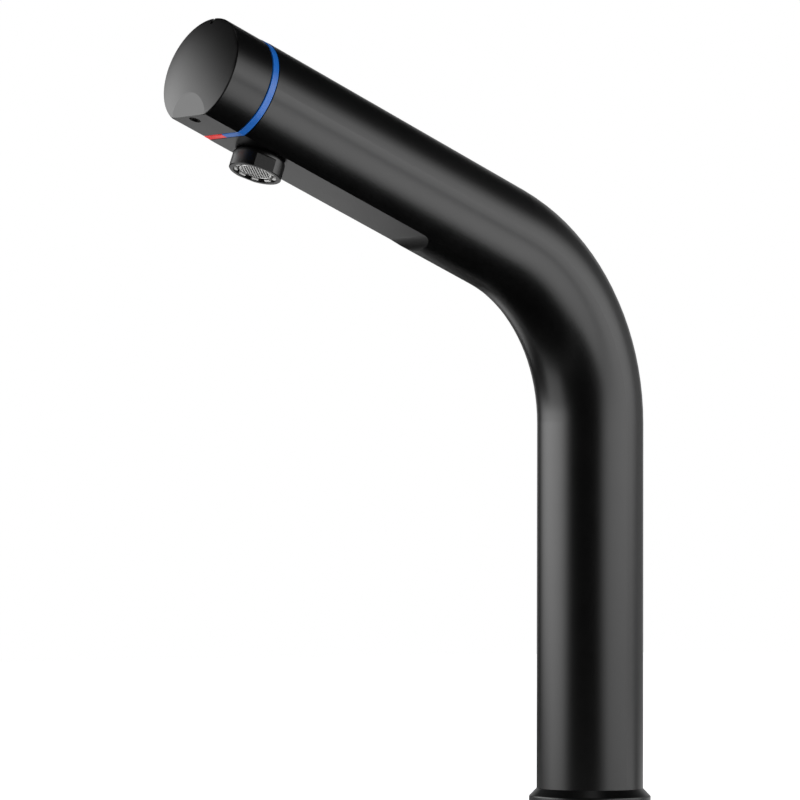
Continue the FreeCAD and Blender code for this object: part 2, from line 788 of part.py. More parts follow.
def outlet_grille():
    """Round net with square holes, set at 45 degrees to the arm."""
    half = (grille_pitch - grille_bar) / 2
    limit = grille_d / 2 - grille_rim_w
    steps = int(limit / grille_pitch) + 1
    holes = []
    for i in range(-steps, steps + 1):
        for j in range(-steps, steps + 1):
            x = i * grille_pitch
            y = j * grille_pitch
            if math.hypot(abs(x) + half, abs(y) + half) > limit:
                continue
            corners = [Vector(x + sx * half, y + sy * half, grille_z)
                       for sx, sy in ((-1, -1), (-1, 1), (1, 1), (1, -1), (-1, -1))]
            holes.append(Part.makePolygon(corners))
    rim = Part.Wire([Part.Circle(Vector(0, 0, grille_z), up, grille_d / 2).toShape()])
    net = Part.Face([rim] + holes).extrude(Vector(0, 0, grille_t))
    net.rotate(Vector(0, 0, 0), up, 45)
    return at_outlet(net)


save("spout_body", spout_body())
save("base_ring", base_ring())
save("base_seal", base_seal())
save("fixing_block", fixing_block())
save("fixing_studs", fixing_studs())
save("clamp_pad", horseshoe(clamp_pad_d, plate_top, pad_top))
save("clamp_plate", horseshoe(clamp_plate_d, washer_top, plate_top))
save("stud_washers", stud_washers())
save("fixing_nuts", fixing_nuts())
save("hot_inlet", inlet(-1))
save("cold_inlet", inlet(1))
save("hot_supply_pipe", supply_pipe(-1))
save("cold_supply_pipe", supply_pipe(1))
save("pipe_o_rings", pipe_o_rings(), True)
save("manifold", manifold(), True)
save("manifold_o_ring", manifold_o_ring(), True)
save("port_seals", port_seals(), True)
save("cartridge_body", cartridge_body(), True)
save("cartridge_o_rings", cartridge_o_rings(), True)
save("fixed_disc", fixed_disc(), True)
save("turning_disc", turning_disc(), True)
save("disc_driver", disc_driver(), True)
save("return_spring", return_spring(), True)
save("valve_piston", valve_piston(), True)
save("valve_seal", valve_seal(), True)
save("timing_piston", timing_piston(), True)
save("timing_seal", timing_seal(), True)
save("cartridge_cap", cartridge_cap(), True)
save("spindle_o_ring", spindle_o_ring(), True)
save("spindle", spindle(), True)
save("cartridge_nut", cartridge_nut(), True)
save("stop_ring", stop_ring(), True)
save("cold_marker", marker(1), True)
save("hot_marker", marker(-1), True)
save("push_knob", push_knob(), True)
save("knob_grub_screw", knob_grub_screw(), True)
save("outlet_nozzle", outlet_nozzle(), True)
save("nozzle_o_ring", nozzle_o_ring(), True)
save("flow_straightener", flow_straightener(), True)
save("outlet_grille", outlet_grille(), True)
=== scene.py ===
import json
import math

import bmesh
import bpy
import numpy as np
from mathutils import Matrix, Vector

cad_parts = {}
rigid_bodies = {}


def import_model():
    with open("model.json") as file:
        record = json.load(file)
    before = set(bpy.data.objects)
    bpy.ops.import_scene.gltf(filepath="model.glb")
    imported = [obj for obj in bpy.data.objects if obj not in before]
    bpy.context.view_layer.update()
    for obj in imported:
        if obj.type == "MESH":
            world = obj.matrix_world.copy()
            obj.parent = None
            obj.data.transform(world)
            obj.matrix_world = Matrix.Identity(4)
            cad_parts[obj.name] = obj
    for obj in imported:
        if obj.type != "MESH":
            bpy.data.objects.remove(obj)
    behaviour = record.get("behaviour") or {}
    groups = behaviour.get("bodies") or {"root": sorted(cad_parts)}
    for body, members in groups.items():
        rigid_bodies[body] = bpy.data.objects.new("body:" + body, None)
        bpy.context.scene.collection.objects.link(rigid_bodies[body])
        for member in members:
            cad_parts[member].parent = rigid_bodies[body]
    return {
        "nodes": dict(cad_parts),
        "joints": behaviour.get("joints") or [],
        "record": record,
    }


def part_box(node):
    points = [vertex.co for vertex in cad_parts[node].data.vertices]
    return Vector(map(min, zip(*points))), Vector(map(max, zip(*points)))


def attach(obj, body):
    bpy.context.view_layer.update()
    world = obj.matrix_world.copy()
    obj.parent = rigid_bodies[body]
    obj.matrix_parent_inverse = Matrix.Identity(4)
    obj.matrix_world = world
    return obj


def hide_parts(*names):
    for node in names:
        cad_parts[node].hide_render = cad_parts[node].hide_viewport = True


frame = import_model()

# The objects that Blender starts with are removed
for spare in [o for o in bpy.data.objects if o.name not in frame["nodes"] and "body:" not in o.name]:
    bpy.data.objects.remove(spare)
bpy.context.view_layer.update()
mm = 0.001
print("frame loaded:", len(frame["nodes"]), "nodes")


# Camera, fitted to the outlines of the photograph
camera = {
    "place": (1104.77 * mm, -1032.80 * mm, 85.72 * mm),
    "azimuth": 49.509,        # degrees, 0 looks along +Y
    "elevation": -2.220,      # a little below the aim, so it looks up
    "roll": 0.1595,
    "focalPixels": 4223.8,    # where the picture is 800 pixels wide
    "imagePixels": 800,
    "sensor": 36.0,           # millimetres
    "clipStart": 0.05,        # metres
    "clipEnd": 100,
}


def makeCamera():
    azimuth, elevation, roll = (math.radians(camera[key]) for key in ("azimuth", "elevation", "roll"))
    away = math.cos(elevation)
    back = Vector((math.sin(azimuth) * away, -math.cos(azimuth) * away, math.sin(elevation)))
    level = Vector((math.cos(azimuth), math.sin(azimuth), 0))
    up = back.cross(level)
    right = math.cos(roll) * level + math.sin(roll) * up
    top = math.cos(roll) * up - math.sin(roll) * level
    data = bpy.data.cameras.new("photoCamera")
    data.sensor_width = camera["sensor"]
    data.lens = camera["focalPixels"] * camera["sensor"] / camera["imagePixels"]
    data.clip_start = camera["clipStart"]
    data.clip_end = camera["clipEnd"]
    made = bpy.data.objects.new("photoCamera", data)
    bpy.context.scene.collection.objects.link(made)
    turn = Matrix((right, top, back)).transposed().to_4x4()
    made.matrix_world = Matrix.Translation(camera["place"]) @ turn
    bpy.context.scene.camera = made


makeCamera()
print("camera made")


# Shader maths: a Signal is a socket that adds, multiplies and so on as a number would
class Signal:
    def __init__(self, paint, socket):
        self.paint = paint
        self.socket = socket

    def maths(self, operation, first, second):
        sockets = {"Value": first, "Value_001": second}
        return self.paint.node("ShaderNodeMath", {"operation": operation}, sockets)

    def __add__(self, other):
        return self.maths("ADD", self, other)

    def __radd__(self, other):
        return self.maths("ADD", other, self)

    def __sub__(self, other):
        return self.maths("SUBTRACT", self, other)

    def __rsub__(self, other):
        return self.maths("SUBTRACT", other, self)

    def __mul__(self, other):
        return self.maths("MULTIPLY", self, other)

    def __rmul__(self, other):
        return self.maths("MULTIPLY", other, self)


class Nodes:
    # the node tree of a material, a lamp or the world, with one method that makes any node
    def __init__(self, owner):
        owner.use_nodes = True
        self.tree = owner.node_tree
        self.tree.nodes.clear()

    def node(self, kind, settings, sockets, output=None):
        made = self.tree.nodes.new(kind)
        for key, value in settings.items():
            setattr(made, key, value)
        inputs = {s.identifier: s for s in made.inputs}
        for key, value in sockets.items():
            if isinstance(value, Signal):
                self.tree.links.new(value.socket, inputs[key])
            else:
                inputs[key].default_value = value
        outputs = {s.identifier: s for s in made.outputs}
        if outputs:
            return Signal(self, outputs[output] if output else made.outputs[0])

    def ramp(self, signal, low, high):
        # 0 at low, 1 at high, smooth between
        sockets = {"Value": signal, "From Min": low, "From Max": high}
        return self.node("ShaderNodeMapRange", {"interpolation_type": "SMOOTHSTEP"}, sockets)

    def glow(self, kind, strength):
        return self.node(kind, {}, {"Color": (1, 1, 1, 1), "Strength": strength})

    def mixed(self, share, first, second):
        return self.node("ShaderNodeMixShader", {}, {"Fac": share, "Shader": first, "Shader_001": second})

    def seen(self):
        # 1 for what the camera sees, directly, mirrored or through glass, and 0 for light on the object
        kinds = ("Is Camera Ray", "Is Glossy Ray", "Is Transmission Ray")
        direct, glossy, glass = (self.node("ShaderNodeLightPath", {}, {}, kind) for kind in kinds)
        return direct + glossy + glass


class Paint(Nodes):
    # a material on a principled shader
    def __init__(self, name, colour, roughness, metallic=0.0, **fixed):
        self.material = bpy.data.materials.new(name)
        super().__init__(self.material)
        sockets = {"Base Color": (*colour, 1), "Roughness": roughness, "Metallic": metallic, **fixed}
        surface = self.node("ShaderNodeBsdfPrincipled", {}, sockets)
        self.shader = surface.socket.node
        self.node("ShaderNodeOutputMaterial", {}, {"Surface": surface})
        self.place = self.node("ShaderNodeTexCoord", {}, {}, "Object")

    def set(self, **signals):
        # links what varies over the surface to the shader's socket of that name, less its spaces
        names = {s.name.replace(" ", ""): s for s in self.shader.inputs}
        for key, value in signals.items():
            self.tree.links.new(value.socket, names[key])

    def lying(self, turn=(0, 0, 0), centre=(0, 0, 0), stretch=(1, 1, 1)):
        # object coordinates in millimetres, moved to a centre, turned, then stretched
        sockets = {"Vector": self.place, "Location": centre, "Rotation": turn}
        moved = self.node("ShaderNodeMapping", {"vector_type": "TEXTURE"}, sockets)
        sockets = {"Vector": moved, "Vector_001": tuple(s / mm for s in stretch)}
        return self.node("ShaderNodeVectorMath", {"operation": "MULTIPLY"}, sockets)

    def noise(self, size, detail, where=None):
        # soft random pattern from 0 to 1, with features of that many millimetres
        where = where or self.lying()
        return self.node("ShaderNodeTexNoise", {}, {"Vector": where, "Scale": 1 / size, "Detail": detail})

    def fromAxis(self, turn, centre):
        # millimetres from an axis, as the length of the coordinates less their share along it
        flat = self.lying(turn, centre, (1, 1, 0))
        return self.node("ShaderNodeVectorMath", {"operation": "LENGTH"}, {"Vector": flat}, "Value")

    def blend(self, share, low, high):
        sockets = {"Factor_Float": share, "A_Color": (*low, 1), "B_Color": (*high, 1)}
        return self.node("ShaderNodeMix", {"data_type": "RGBA"}, sockets, "Result_Color")

    def bump(self, height, depth):
        # a height from 0 to 1 stands for that many millimetres
        return self.node("ShaderNodeBump", {}, {"Height": height, "Distance": depth * mm, "Strength": 1.0})


def shaded(colour, share):
    return tuple(share * part for part in colour)


# In each finish below, sizes and depths are in millimetres. "smoother" is what the smoothest places lose
# in roughness, and "rougher" is what the pattern adds from its lowest to its highest value

# Powder coat on the spout, foot ring, knob and nozzle
coat = {
    "dark": (0.0010, 0.0010, 0.0011),
    "light": (0.0020, 0.0020, 0.0021),
    "gloss": 0.5,
    "knobGloss": 0.44,        # the knob is coated by itself and comes out a little duller
    "roughness": 0.30,
    "smoother": 0.03,
    "cloud": 11.0,            # slow change of tone
    "cloudRougher": 0.04,
    "peel": 1.25,             # orange peel of the coat
    "peelDepth": 0.0014,
    "fleck": 0.22,            # fine grain of the powder
    "fleckRougher": 0.03,
    "fleckDepth": 0.0006,
}


def matteCoat(name, gloss):
    paint = Paint(name, coat["dark"], coat["roughness"], **{"Specular IOR Level": gloss})
    cloud = paint.noise(coat["cloud"], detail=3.0)
    peel = paint.noise(coat["peel"], detail=1.0)
    fleck = paint.noise(coat["fleck"], detail=1.0)
    smoothest = coat["roughness"] - coat["smoother"]
    height = peel * coat["peelDepth"] + fleck * coat["fleckDepth"]
    paint.set(BaseColor=paint.blend(cloud, coat["dark"], coat["light"]),
              Roughness=smoothest + coat["cloudRougher"] * cloud + coat["fleckRougher"] * fleck,
              Normal=paint.bump(height, depth=1.0))
    return paint.material


# Moulded colour of the two halves of the marker ring
markers = {
    "blue": (0.003, 0.118, 0.48),
    "red": (0.96, 0.014, 0.014),
    "darkest": 0.88,          # share of the colour that the darkest places keep
    "roughness": 0.32,
    "smoother": 0.04,
    "rougher": 0.10,
    "gloss": 0.50,
    "flow": 1.8,              # traces of flow in the plastic
    "flowDepth": 0.003,
}


def mouldedColour(name, colour):
    paint = Paint(name, colour, markers["roughness"], **{"Specular IOR Level": markers["gloss"]})
    flow = paint.noise(markers["flow"], detail=3.0)
    paint.set(BaseColor=paint.blend(flow, shaded(colour, markers["darkest"]), colour),
              Roughness=markers["roughness"] - markers["smoother"] + markers["rougher"] * flow,
              Normal=paint.bump(flow, markers["flowDepth"]))
    return paint.material


# Pale insert round the outlet, and the plastics inside
plastics = {
    # colour, roughness, size of the eroded grain
    "insertGrey": ((0.62, 0.62, 0.61), 0.38, 0.35),
    "cartridgeWhite": ((0.72, 0.72, 0.68), 0.42, 0.5),
}
mouldSkin = {
    "cloud": 12,              # in grains
    "darkest": 0.88,
    "smoother": 0.06,
    "rougher": 0.14,
    "depth": 0.006,
}


def mouldedPlastic(name):
    colour, roughness, grain = plastics[name]
    paint = Paint(name, colour, roughness)
    cloud = paint.noise(grain * mouldSkin["cloud"], detail=2.0)
    eroded = paint.noise(grain, detail=2.0)
    paint.set(BaseColor=paint.blend(cloud, shaded(colour, mouldSkin["darkest"]), colour),
              Roughness=roughness - mouldSkin["smoother"] + mouldSkin["rougher"] * eroded,
              Normal=paint.bump(eroded, mouldSkin["depth"]))
    return paint.material


# Rolled bars of the outlet's screen, bright and only a little stained
barFinish = {
    "colour": (0.90, 0.90, 0.89),
    "dull": (0.74, 0.74, 0.73),
    "roughness": 0.20,
    "smoother": 0.05,
    "rougher": 0.12,
    "mark": 0.3,              # traces of the rolling
    "markDepth": 0.002,
}


def rolledBar():
    paint = Paint("rolledBar", barFinish["colour"], barFinish["roughness"], metallic=1.0)
    mark = paint.noise(barFinish["mark"], detail=2.0)
    paint.set(BaseColor=paint.blend(mark, barFinish["dull"], barFinish["colour"]),
              Roughness=barFinish["roughness"] - barFinish["smoother"] + barFinish["rougher"] * mark,
              Normal=paint.bump(mark, barFinish["markDepth"]))
    return paint.material


# Turned, drawn and brushed metals: tool marks are rings about an axis or long streaks
metals = {
    # colour, roughness, width of a tool mark, its depth
    "brass": ((0.80, 0.57, 0.26), 0.30, 0.12, 0.0012),
    "steel": ((0.66, 0.65, 0.63), 0.38, 0.10, 0.0010),
    "copper": ((0.80, 0.36, 0.21), 0.30, 0.25, 0.0010),
}
toolMarks = {
    # how much smoother, how much rougher, detail
    "turned": (0.05, 0.10, 1.0),
    "streaked": (0.06, 0.16, 2.0),
}
tarnish = {"size": 7.0, "detail": 4.0, "edges": (0.35, 0.75), "darkest": 0.84, "rougher": 0.08}


def markedMetal(name, kind, marks, run):
    # tool marks on the coordinates that run(paint) gives, and tarnish over them in patches
    colour, roughness, width, depth = metals[kind]
    smoother, rougher, detail = toolMarks[marks]
    paint = Paint(name, colour, roughness, metallic=1.0)
    mark = paint.noise(width, detail, run(paint))
    stain = paint.ramp(paint.noise(tarnish["size"], tarnish["detail"]), *tarnish["edges"])
    paint.set(BaseColor=paint.blend(stain, colour, shaded(colour, tarnish["darkest"])),
              Roughness=roughness - smoother + rougher * mark + tarnish["rougher"] * stain,
              Normal=paint.bump(mark, depth))
    return paint.material


def turnedMetal(name, kind, turn=(0, 0, 0), centre=(0, 0, 0)):
    # marks vary with the distance from the axis and along it, never round it
    def rings(paint):
        along = paint.node("ShaderNodeSeparateXYZ", {}, {"Vector": paint.lying(turn, centre)}, "Z")
        return paint.node("ShaderNodeCombineXYZ", {}, {"X": paint.fromAxis(turn, centre), "Z": along})

    return markedMetal(name, kind, "turned", rings)


def streakedMetal(name, kind, stretch):
    # marks are long in one direction, as rolling, brushing or drawing leaves them
    return markedMetal(name, kind, "streaked", lambda paint: paint.lying(stretch=stretch))


# Seals, and the lapped discs of the cartridge
rubber = {
    "colour": (0.017, 0.017, 0.018),
    "bloom": (0.04, 0.04, 0.041),
    "bloomSize": 6.0,
    "bloomEdges": (0.4, 0.8),
    "roughness": 0.62,
    "rougher": 0.12,
    "grain": 0.3,
    "grainDepth": 0.01,
}
ceramic = {
    "colour": (0.84, 0.81, 0.75),
    "darkest": 0.75,
    "roughness": 0.12,
    "rougher": 0.3,
    "pore": 0.15,
    "poreEdges": (0.62, 0.7),
    "poreDepth": 0.002,
}


def mouldedRubber():
    paint = Paint("sealRubber", rubber["colour"], rubber["roughness"])
    bloom = paint.ramp(paint.noise(rubber["bloomSize"], detail=4.0), *rubber["bloomEdges"])
    grain = paint.noise(rubber["grain"], detail=2.0)
    paint.set(BaseColor=paint.blend(bloom, rubber["colour"], rubber["bloom"]),
              Roughness=rubber["roughness"] + rubber["rougher"] * grain,
              Normal=paint.bump(grain, rubber["grainDepth"]))
    return paint.material


def lappedCeramic():
    colour = ceramic["colour"]
    paint = Paint("lappedCeramic", colour, ceramic["roughness"])
    pore = paint.ramp(paint.noise(ceramic["pore"], detail=2.0), *ceramic["poreEdges"])
    paint.set(BaseColor=paint.blend(pore, colour, shaded(colour, ceramic["darkest"])),
              Roughness=ceramic["roughness"] + ceramic["rougher"] * pore,
              Normal=paint.bump(1 - pore, ceramic["poreDepth"]))
    return paint.material


# The finish of each slot, and of the nodes that differ. Tool marks in the arm run round its axis
knobTurn = next(j for j in frame["joints"] if j["name"] == "knob_turn")
armTurn = Vector(knobTurn["axis"]).to_track_quat("Z", "Y").to_euler()
armStart = Vector(knobTurn["pos_m"])
lengthwise = (1, 0.03, 1)     # streaks run along Y
upright = (1, 1, 0.03)        # streaks run along Z
finishes = {
    "matte_black": matteCoat("matteBlackCoat", coat["gloss"]),
    "marker_blue": mouldedColour("markerBlue", markers["blue"]),
    "marker_red": mouldedColour("markerRed", markers["red"]),
    "insert_grey": mouldedPlastic("insertGrey"),
    "grille_steel": rolledBar(),
    "brass": turnedMetal("turnedBrass", "brass"),
    "copper": streakedMetal("drawnCopper", "copper", upright),
    "stainless": turnedMetal("turnedSteel", "steel"),
    "rubber": mouldedRubber(),
    "ceramic": lappedCeramic(),
    "cartridge_plastic": mouldedPlastic("cartridgeWhite"),
}
armBrass = turnedMetal("turnedBrassInArm", "brass", armTurn, armStart)
armSteel = turnedMetal("turnedSteelInArm", "steel", armTurn, armStart)
finishOfNode = {
    "push_knob": matteCoat("knobCoat", coat["knobGloss"]),
    "manifold": armBrass,
    "cartridge_nut": armBrass,
    "spindle": armSteel,
    "return_spring": armSteel,
    "clamp_plate": streakedMetal("rolledSteel", "steel", lengthwise),
}
slotOf = {row["node"]: row["material_slot"] for row in frame["record"]["subparts"]}
for name, node in frame["nodes"].items():
    node.data.materials.clear()
    node.data.materials.append(finishOfNode.get(name, finishes[slotOf[name]]))
print("finishes made:", len(bpy.data.materials))


# Surfaces worked out on grids
closest = 0.0005 * mm         # points nearer to each other than this are one


def gridFaces(rows, columns, firstPoint=0, closeColumns=False):
    # four corners of each cell between neighbouring points, as rows of point numbers
    across = columns if closeColumns else columns - 1
    cells = np.meshgrid(np.arange(rows - 1), np.arange(across), indexing="ij")
    row, column = (part.ravel() for part in cells)
    after = (column + 1) % columns
    corners = (row * columns + column, row * columns + after, (row + 1) * columns + after,
               (row + 1) * columns + column)
    return np.stack(corners, -1) + firstPoint


class Surface:
    # collects grids of points in millimetres and makes them one piece
    def __init__(self):
        self.points = []
        self.faces = []
        self.count = 0

    def add(self, points, closeColumns=False):
        rows, columns = points.shape[:2]
        self.points.append(points.reshape(-1, 3))
        self.faces.append(gridFaces(rows, columns, self.count, closeColumns))
        self.count += rows * columns

    def make(self, name, material, sharpAngle, place=Matrix.Identity(4)):
        mesh = bpy.data.meshes.new(name)
        mesh.from_pydata(np.concatenate(self.points) * mm, [], np.concatenate(self.faces))
        mesh.transform(place)
        return finished(mesh, name, material, sharpAngle)


def finished(mesh, name, material, sharpAngle):
    # doubles merged, faces turned outwards, smooth but for edges sharper than the angle in degrees
    work = bmesh.new()
    work.from_mesh(mesh)
    bmesh.ops.remove_doubles(work, verts=work.verts, dist=closest)
    bmesh.ops.dissolve_degenerate(work, edges=work.edges, dist=closest)
    bmesh.ops.recalc_face_normals(work, faces=work.faces)
    work.to_mesh(mesh)
    work.free()
    mesh.shade_smooth()
    mesh.set_sharp_from_angle(angle=math.radians(sharpAngle))
    mesh.materials.clear()
    mesh.materials.append(material)
    piece = bpy.data.objects.new(name, mesh)
    bpy.context.scene.collection.objects.link(piece)
    return piece


def revolved(profile, around):
    # each (radius, height) of the profile carried round the axis: x = r cos, y = r sin
    profile = np.array(profile, float)
    angle = np.linspace(0, 2 * math.pi, around, endpoint=False)
    r, z = profile[:, :1], profile[:, 1:]
    return np.stack([r * np.cos(angle), r * np.sin(angle), np.broadcast_to(z, (len(profile), around))], -1)


# Threads: the radius is the crest's, less the depth times a ridge that climbs one pitch each turn
threadShape = {
    "around": 56,             # points in each turn
    "crest": 0.125,           # share of the pitch
    "root": 0.25,
    "sharpAngle": 25,
}


def threadGrid(crestR, rootR, pitch, z0, z1, limit):
    # rows follow the thread's four edges, z = pitch * (row + turn), so crest and root stay crisp;
    # limit(z) gives the least and the greatest radius there, which form the end chamfers
    crest, root = threadShape["crest"], threadShape["root"]
    flank = (1 - crest - root) / 2
    starts = np.array([0, crest, crest + flank, crest + flank + root])
    radii = np.array([crestR, crestR, rootR, rootR])
    turns = math.ceil((z1 - z0) / pitch) + 2
    rowZ = (np.arange(-1, turns)[:, None] + starts).ravel() * pitch + z0
    rowR = np.tile(radii, turns + 1)
    share = np.linspace(0, 1, threadShape["around"] + 1)
    angle = 2 * math.pi * share
    z = np.clip(rowZ[:, None] + pitch * share, z0, z1)
    least, greatest = limit(z)
    r = np.clip(np.broadcast_to(rowR[:, None], z.shape), least, greatest)
    return np.stack([r * np.cos(angle), r * np.sin(angle), z], -1)


# The two M6 studs, which replace the plain ones
studs = {
    "pitch": 1.0,
    "rootDepth": 0.61,
    "chamfer": 0.85,
}


def threadedStuds():
    low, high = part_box("fixing_studs")
    radius = high.x / mm
    centreY = high.y / mm - radius
    z0, z1 = low.z / mm, high.z / mm
    rootR = radius - studs["rootDepth"]
    endR = radius - studs["chamfer"]

    def limit(z):
        fromEnd = np.minimum(z - z0, z1 - z)
        return 0 * z, np.clip(endR + fromEnd, 0, radius)

    surface = Surface()
    for side in (-1, 1):
        thread = threadGrid(radius, rootR, studs["pitch"], z0, z1, limit)
        thread[..., 1] += side * centreY
        surface.add(thread)
        for z in (z0, z1):
            cap = revolved([(0, z), (endR, z)], threadShape["around"])
            cap[..., 1] += side * centreY
            surface.add(cap, closeColumns=True)
    piece = surface.make("threadedStuds", finishes["stainless"], threadShape["sharpAngle"])
    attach(piece, "root")
    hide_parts("fixing_studs")


threadedStuds()


# The two hose inlets, with their M10 x 1 thread cut inside
inlets = {
    "pitch": 1.0,
    "coreR": 4.5,
    "majorR": 5.0,
    "threadL": 9.0,
    "waterwayR": 3.0,
    "socketR": 4.05,
    "socketL": 6.0,
    "edge": 0.35,             # bevel at both ends
    "countersink": 0.3,
}


def threadedInlet(name, node):
    low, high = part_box(node)
    centre = (low + high) / 2
    outerR = (high.x - low.x) / 2 / mm
    z0, z1 = low.z / mm, high.z / mm
    pitch, coreR, majorR, edge = (inlets[key] for key in ("pitch", "coreR", "majorR", "edge"))
    threadEnd = z0 + inlets["threadL"]
    socketEnd = z1 - inlets["socketL"]
    mouthR = majorR + inlets["countersink"]

    def limit(z):
        # a countersink at the mouth, and a run-out of one pitch at the thread's end
        mouth = mouthR - (z - z0)
        inside = np.clip((threadEnd - z) / pitch, 0, 1)
        return np.maximum(coreR, mouth), np.maximum(coreR + inside * (mouthR - coreR), mouth)

    profile = [(mouthR, z0), (outerR - edge, z0), (outerR, z0 + edge), (outerR, z1 - edge),
               (outerR - edge, z1), (inlets["socketR"], z1), (inlets["socketR"], socketEnd),
               (inlets["waterwayR"], socketEnd), (inlets["waterwayR"], threadEnd), (coreR, threadEnd)]
    surface = Surface()
    surface.add(threadGrid(coreR, majorR, pitch, z0, threadEnd, limit))
    surface.add(revolved(profile, threadShape["around"]), closeColumns=True)
    place = Matrix.Translation((centre.x, centre.y, 0))
    piece = surface.make(name, finishes["brass"], threadShape["sharpAngle"], place)
    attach(piece, "root")
    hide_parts(node)


threadedInlet("hotInletThreaded", "hot_inlet")
threadedInlet("coldInletThreaded", "cold_inlet")
print("threads cut")


# Where the outlet is: its axes point to +X, along the arm and out, from the middle of the nozzle's rim
outletMount = next(m for m in frame["record"]["mounts"] if m["name"] == "water_outlet")
outletOut = Vector(outletMount["axis"])
outletAxes = Matrix((Vector((1, 0, 0)), outletOut.cross(Vector((1, 0, 0))), outletOut)).transposed().to_4x4()
outletPlace = Matrix.Translation(outletMount["pos_m"]) @ outletAxes


# Slotted screen in a turned rim: flat bars side by side, with thin rods across behind them
screen = {
    # millimetres, heights are from the nozzle's rim
    "face": -0.75,
    "rimOuter": 5.6,
    "rimInner": 5.15,
    "rimHeight": 0.75,
    "rimEdge": 0.08,
    "rimPoints": 96,
    "turn": 51.4,             # degrees from +X to the bars
    "pitch": 0.95,
    "barWidth": 0.42,
    "barHeight": 0.28,
    "barSunk": 0.03,          # below the rim's face
    "barPoints": 16,
    "rodPitch": 2.4,
    "rodWidth": 0.22,
    "sharpAngle": 35,
}


def bars(pitch, width, height, middle):
    # each bar's section is (w sqrt|cos a|, h sqrt|sin a|) with their signs: a rectangle with round corners
    reach = screen["rimInner"] + screen["rimEdge"]
    angle = np.linspace(0, 2 * math.pi, screen["barPoints"], endpoint=False)
    side = width / 2 * np.sign(np.cos(angle)) * np.sqrt(np.abs(np.cos(angle)))
    up = height / 2 * np.sign(np.sin(angle)) * np.sqrt(np.abs(np.sin(angle)))
    made = []
    for number in range(-int(reach / pitch), int(reach / pitch) + 1):
        offset = number * pitch
        half = math.sqrt(reach ** 2 - offset ** 2)
        along = np.array([[-half], [half]])
        made.append(np.stack(np.broadcast_arrays(along, offset + side, middle + up), -1))
    return made


def slottedScreen():
    outer, inner, edge = screen["rimOuter"], screen["rimInner"], screen["rimEdge"]
    top, foot = screen["face"], screen["face"] - screen["rimHeight"]
    rim = [(outer - edge, top), (outer, top - edge), (outer, foot), (inner, foot), (inner, top - edge),
           (inner + edge, top), (outer - edge, top)]
    surface = Surface()
    surface.add(revolved(rim, screen["rimPoints"]), closeColumns=True)
    barZ = top - screen["barSunk"] - screen["barHeight"] / 2
    rodZ = barZ - screen["barHeight"] / 2 - screen["rodWidth"] / 2
    grids = bars(screen["pitch"], screen["barWidth"], screen["barHeight"], barZ)
    rods = bars(screen["rodPitch"], screen["rodWidth"], screen["rodWidth"], rodZ)
    grids += [rod[..., [1, 0, 2]] for rod in rods]
    turn = math.radians(screen["turn"])
    spin = np.array([[math.cos(turn), math.sin(turn), 0], [-math.sin(turn), math.cos(turn), 0], [0, 0, 1]])
    for grid in grids:
        surface.add(grid @ spin, closeColumns=True)
    piece = surface.make("slottedScreen", finishes["grille_steel"], screen["sharpAngle"], outletPlace)
    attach(piece, "root")
    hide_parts("outlet_grille")


slottedScreen()
print("screen made")


# Moulded insert that holds the screen: a cup whose rim is cut into blocks
insert = {
    # millimetres, heights are from the nozzle's rim
    "outer": 7.5,
    "blockInner": 6.35,
    "lip": 0.32,              # thickness of a block, which stands over the groove
    "pocket": 7.2,            # radius of the groove under the lips
    "bore": 4.6,
    "blockTop": -0.38,
    "slotFloor": -3.0,
    "grooveFloor": -3.5,
    "seat": -1.5,             # where the screen's rim sits
    "seatOuter": 5.68,        # a deep groove runs between the seat and the blocks
    "foot": -5.3,
    "edge": 0.12,
    "blocks": 9,
    "blockAngle": 20.0,       # degrees
    "wallAngle": 0.6,         # draft of a block's sides
    "firstBlock": 10.0,
    "points": 6,              # along a block, and along a slot
    "sharpAngle": 35,
}


def mouldedInsert():
    # r and z go round a closed profile; its top follows the blocks: floor + (top - floor) * share(angle)
    block, wall, blocks, points = (insert[key] for key in ("blockAngle", "wallAngle", "blocks", "points"))
    period = 360 / blocks
    onBlock, onSlot = np.linspace(wall, block - wall, points), np.linspace(block, period, points)
    steps = np.concatenate([[0], onBlock, onSlot[:-1]])
    share = np.interp(steps, [0, wall, block - wall, block], [0, 1, 1, 0])
    degrees = (insert["firstBlock"] + np.arange(blocks)[:, None] * period + steps).ravel()
    angle = np.radians(degrees)
    top = insert["slotFloor"] + (insert["blockTop"] - insert["slotFloor"]) * np.tile(share, blocks)
    under = top - insert["lip"]
    outer, inner, pocket, edge = (insert[key] for key in ("outer", "blockInner", "pocket", "edge"))
    seat, seatOuter, groove = insert["seat"], insert["seatOuter"], insert["grooveFloor"]
    bore, foot = insert["bore"], insert["foot"]
    profile = [(bore, foot), (bore, seat), (seatOuter, seat), (seatOuter, groove), (pocket, groove),
               (pocket, under), (inner, under), (inner, top - edge), (inner + edge, top), (outer - edge, top),
               (outer, top - edge), (outer, foot), (bore, foot)]
    r = np.array([[radius] for radius, height in profile])
    z = np.stack([np.broadcast_to(height, angle.shape) for radius, height in profile])
    surface = Surface()
    surface.add(np.stack([r * np.cos(angle), r * np.sin(angle), z], -1), closeColumns=True)
    piece = surface.make("mouldedInsert", finishes["insert_grey"], insert["sharpAngle"], outletPlace)
    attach(piece, "root")
    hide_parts("flow_straightener")


mouldedInsert()
print("insert moulded")


